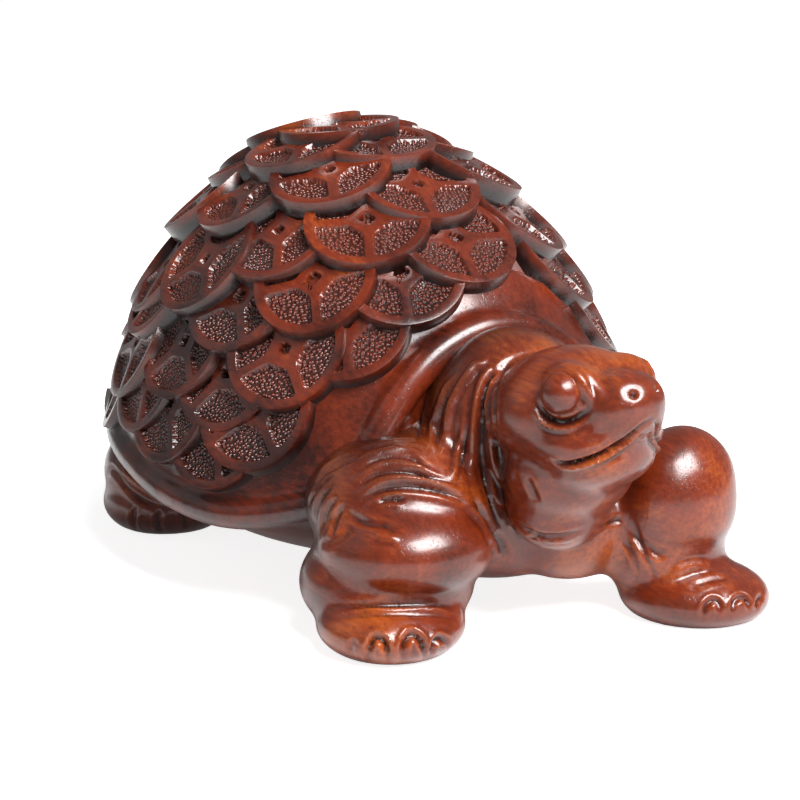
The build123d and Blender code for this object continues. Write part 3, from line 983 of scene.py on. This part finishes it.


# Rosewood, carved, stained and lacquered: dark red-brown heart, warmer where the polish has worn it, with
# painted light on the top, nearly black in the cuts from dark stain and painted shade, with fine pores that
# run along the block
rosewood = {
    "dark": "#2b0a05",
    "middle": "#6c240c",
    "light": "#a9521b",
    # dark stain of the pores, and also the colour of the painted shade
    "stainAndShade": "#160604",
    # painted highlight on the tops of the punch marks
    "dotHighlight": "#96493a",
    "rampFrom": 0.42,
    "rampTo": 1.1,
    # painted light: how much lighter the highest parts are painted
    "topPaintedLight": 0.16,
    "topFrom": 20,  # millimetres
    "topTo": 58,
    "blotchSize": 11,
    "grainWidth": 0.55,
    "grainLength": 6,
    "grainShare": 0.45,
    "poresPerGrain": 2.2,
    "poreTint": 0.45,
    "poreDepth": 0.012,
    "roughness": 0.3,
    "specular": 0.3,
    "coat": 0.7,
    "coatRoughness": 0.2,
    "stippleSize": 0.5,  # one punch mark
    "stippleDepth": 0.2,
    "stippleHighlight": 0.45,
    "stippleShade": 0.6,
}


def carvedWood(name, stippled=False, lighter=0.0):
    material = bpy.data.materials.new(name)
    material.use_nodes = True
    tree = material.node_tree
    tree.nodes.clear()
    place = addNode(tree, "ShaderNodeTexCoord").outputs["Object"]
    stretch = rosewood["grainWidth"] / rosewood["grainLength"]
    along = addNode(tree, "ShaderNodeMapping", {"Scale": (1, stretch, 1), "Rotation": (0.08, 0, 0.1)},
                    {"Vector": place}).outputs[0]
    blotch = addNode(tree, "ShaderNodeTexNoise",
                     {"Scale": 1 / (rosewood["blotchSize"] * mm), "Detail": 3, "Roughness": 0.55},
                     {"Vector": place}).outputs[0]
    grain = addNode(tree, "ShaderNodeTexNoise",
                    {"Scale": 1 / (rosewood["grainWidth"] * mm), "Detail": 4, "Roughness": 0.6},
                    {"Vector": along}).outputs[0]
    shade = addNode(tree, "ShaderNodeMath", {"operation": "MULTIPLY_ADD", 1: rosewood["grainShare"]},
                    {0: grain, 2: blotch}).outputs[0]
    # painted light: the top is painted lighter than what lies low, as if lit from above
    heightAbove = addNode(tree, "ShaderNodeSeparateXYZ", None, {"Vector": place}).outputs["Z"]
    paintedTopLight = addNode(tree, "ShaderNodeMapRange",
                      {"From Min": rosewood["topFrom"] * mm, "From Max": rosewood["topTo"] * mm,
                       "To Max": rosewood["topPaintedLight"]},
                      {"Value": heightAbove}).outputs[0]
    shade = addNode(tree, "ShaderNodeMath", {"operation": "ADD"}, {0: shade, 1: paintedTopLight}).outputs[0]
    shade = addNode(tree, "ShaderNodeMapRange",
                    {"From Min": rosewood["rampFrom"] - lighter, "From Max": rosewood["rampTo"] - lighter},
                    {"Value": shade}).outputs[0]
    ramp = addNode(tree, "ShaderNodeValToRGB", None, {"Fac": shade})
    ramp.color_ramp.elements[0].color = linear(rosewood["dark"])
    ramp.color_ramp.elements[1].color = linear(rosewood["light"])
    ramp.color_ramp.elements.new(0.5).color = linear(rosewood["middle"])
    colour = ramp.outputs[0]
    # pores are thin dark dashes
    pores = addNode(tree, "ShaderNodeTexNoise",
                    {"Scale": rosewood["poresPerGrain"] / (rosewood["grainWidth"] * mm), "Detail": 2},
                    {"Vector": along}).outputs[0]
    poreMask = addNode(tree, "ShaderNodeMapRange", {"From Min": 0.60, "From Max": 0.72},
                       {"Value": pores}).outputs[0]
    poreTint = addNode(tree, "ShaderNodeMath", {"operation": "MULTIPLY", 1: rosewood["poreTint"]},
                       {0: poreMask}).outputs[0]
    colour = addNode(tree, "ShaderNodeMix", {"data_type": "RGBA", 7: linear(rosewood["stainAndShade"])},
                     {0: poreTint, 6: colour}).outputs[2]
    worn = addNode(tree, "ShaderNodeAttribute", {"attribute_name": "worn"}).outputs["Fac"]
    colour = addNode(tree, "ShaderNodeMix", {"data_type": "RGBA", 7: linear(rosewood["light"])},
                     {0: worn, 6: colour}).outputs[2]
    hollow = addNode(tree, "ShaderNodeAttribute", {"attribute_name": "hollow"}).outputs["Fac"]
    height = addNode(tree, "ShaderNodeMath", {"operation": "MULTIPLY", 1: -rosewood["poreDepth"]},
                     {0: poreMask}).outputs[0]
    if stippled:
        # round punch marks, with a painted highlight on their tops and painted shade between them
        flat = addNode(tree, "ShaderNodeTexCoord").outputs["UV"]
        dots = addNode(tree, "ShaderNodeTexVoronoi",
                       {"voronoi_dimensions": "2D", "Scale": coins["mapSize"] / rosewood["stippleSize"],
                        "Randomness": 0.8},
                       {"Vector": flat}).outputs["Distance"]
        dome = addNode(tree, "ShaderNodeMapRange",
                       {"interpolation_type": "SMOOTHSTEP", "From Min": 0.1, "From Max": 0.6,
                        "To Min": 1, "To Max": 0},
                       {"Value": dots}).outputs[0]
        pit = addNode(tree, "ShaderNodeAttribute", {"attribute_name": "pit"}).outputs["Fac"]
        dome = addNode(tree, "ShaderNodeMath", {"operation": "MULTIPLY"}, {0: dome, 1: pit}).outputs[0]
        dotHighlight = addNode(tree, "ShaderNodeMath", {"operation": "MULTIPLY", 1: rosewood["stippleHighlight"]},
                         {0: dome}).outputs[0]
        colour = addNode(tree, "ShaderNodeMix", {"data_type": "RGBA", 7: linear(rosewood["dotHighlight"])},
                         {0: dotHighlight, 6: colour}).outputs[2]
        height = addNode(tree, "ShaderNodeMath", {"operation": "MULTIPLY_ADD", 1: rosewood["stippleDepth"]},
                         {0: dome, 2: height}).outputs[0]
        between = addNode(tree, "ShaderNodeMath", {"operation": "SUBTRACT"}, {0: pit, 1: dome}).outputs[0]
        hollow = addNode(tree, "ShaderNodeMath",
                         {"operation": "MULTIPLY_ADD", 1: rosewood["stippleShade"], "use_clamp": True},
                         {0: between, 2: hollow}).outputs[0]
    # painted shade: hollows, the skin under the shell, coin walls and gaps between punch marks go toward the
    # dark colour; in the creases this is dark stain and painted shade together
    colour = addNode(tree, "ShaderNodeMix", {"data_type": "RGBA", 7: linear(rosewood["stainAndShade"])},
                     {0: hollow, 6: colour}).outputs[2]
    bump = addNode(tree, "ShaderNodeBump", {"Strength": 1, "Distance": mm}, {"Height": height}).outputs[0]
    gloss = addNode(tree, "ShaderNodeMapRange",
                    {"To Min": rosewood["roughness"] - 0.06, "To Max": rosewood["roughness"] + 0.1},
                    {"Value": grain}).outputs[0]
    wood = addNode(tree, "ShaderNodeBsdfPrincipled",
                   {"IOR": 1.5, "Specular IOR Level": rosewood["specular"], "Coat Weight": rosewood["coat"],
                    "Coat Roughness": rosewood["coatRoughness"], "Coat IOR": 1.5},
                   {"Base Color": colour, "Roughness": gloss, "Normal": bump, "Coat Normal": bump})
    addNode(tree, "ShaderNodeOutputMaterial", None, {"Surface": wood.outputs[0]})
    return material


materials = {
    "coinWood": carvedWood("stippledRosewood", stippled=True, lighter=-0.2),
    "shellWood": carvedWood("polishedRosewoodShell", lighter=-0.2),
    "bodyWood": carvedWood("polishedRosewoodBody", lighter=0.02),
}


def dress(piece, material, *nodes):
    piece.data.materials.clear()
    piece.data.materials.append(materials[material])
    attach(piece, "root")
    if nodes:
        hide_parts(*nodes)


for index, row in enumerate(coinRows):
    dress(row, "coinWood", f"scale_row_{index}")
dress(shellBody, "shellWood", "carapace_dome", "shell_rim", "neck_hood")
dress(eyes[0], "bodyWood", "right_eye")
dress(eyes[1], "bodyWood", "left_eye")
nodeNames = {
    "frontRightLeg": "front_right_leg", "frontRightFoot": "front_right_foot",
    "frontLeftLeg": "front_left_leg", "frontLeftFoot": "front_left_foot",
    "rearRightLeg": "rear_right_leg", "rearRightFoot": "rear_right_foot",
    "rearLeftLeg": "rear_left_leg", "rearLeftFoot": "rear_left_foot",
    "lowerJaw": "lower_jaw",
}
for name, piece in body.items():
    dress(piece, "bodyWood", nodeNames.get(name, name))

# A pale table, a white surround and one large soft lamp, as a shop's photographer sets them
studio = {
    "distance": 700,  # millimetres, of both lamps
    "keyAround": 10,  # degrees from straight ahead of the turtle
    "keyUp": 50,
    "keySize": (460, 340),
    "keyPower": 11.5,
    "fillAround": -120,
    "fillUp": 35,
    "fillSize": (700, 500),
    "fillPower": 0.3,
    "surround": 0.06,
    "floorGlow": 0.85,
    "shine": 0.16,  # how much of the white surround the lacquer shows
    "floor": "#f2f2f2",
    "aimHeight": 25,
}


def addLamp(name, around, up, power, size):
    a = radians(around)
    e = radians(up)
    way = Vector((sin(a) * cos(e), -cos(a) * cos(e), sin(e)))
    bpy.ops.object.light_add(type="AREA")
    lamp = bpy.context.active_object
    lamp.name = name
    lamp.location = (way * studio["distance"] + Vector((0, 0, studio["aimHeight"]))) * mm
    lamp.rotation_euler = way.to_track_quat("Z", "Y").to_euler()
    lamp.data.shape = "RECTANGLE"
    lamp.data.size = size[0] * mm
    lamp.data.size_y = size[1] * mm
    lamp.data.energy = power


def whiteSeen(tree):
    # the camera sees the surround white, and the lacquer shows a little of it
    path = addNode(tree, "ShaderNodeLightPath")
    return addNode(tree, "ShaderNodeMath", {"operation": "MULTIPLY_ADD", 1: studio["shine"]},
                   {0: path.outputs["Is Glossy Ray"], 2: path.outputs["Is Camera Ray"]}).outputs[0]


def makeStudio():
    addLamp("keyLamp", studio["keyAround"], studio["keyUp"], studio["keyPower"], studio["keySize"])
    addLamp("fillLamp", studio["fillAround"], studio["fillUp"], studio["fillPower"], studio["fillSize"])
    deselectAll()
    bpy.ops.mesh.primitive_plane_add(size=6)
    floor = bpy.context.active_object
    floor.name = "table"
    material = bpy.data.materials.new("whiteTable")
    material.use_nodes = True
    tree = material.node_tree
    tree.nodes.clear()
    glow = addNode(tree, "ShaderNodeMath", {"operation": "MULTIPLY", 1: studio["floorGlow"]},
                   {0: whiteSeen(tree)}).outputs[0]
    plain = addNode(tree, "ShaderNodeBsdfPrincipled",
                    {"Base Color": linear(studio["floor"]), "Roughness": 0.9, "Specular IOR Level": 0.2,
                     "Emission Color": (1, 1, 1, 1)}, {"Emission Strength": glow})
    addNode(tree, "ShaderNodeOutputMaterial", None, {"Surface": plain.outputs[0]})
    floor.data.materials.append(material)
    world = bpy.data.worlds.new("surround")
    bpy.context.scene.world = world
    world.use_nodes = True
    tree = world.node_tree
    tree.nodes.clear()
    level = addNode(tree, "ShaderNodeMapRange", {"To Min": studio["surround"], "To Max": 1},
                    {"Value": whiteSeen(tree)})
    sky = addNode(tree, "ShaderNodeBackground", {"Color": (1, 1, 1, 1)}, {"Strength": level.outputs[0]})
    addNode(tree, "ShaderNodeOutputWorld", None, {"Surface": sky.outputs[0]})
    bpy.context.scene.view_settings.view_transform = "Standard"


makeStudio()
print("studio lit")
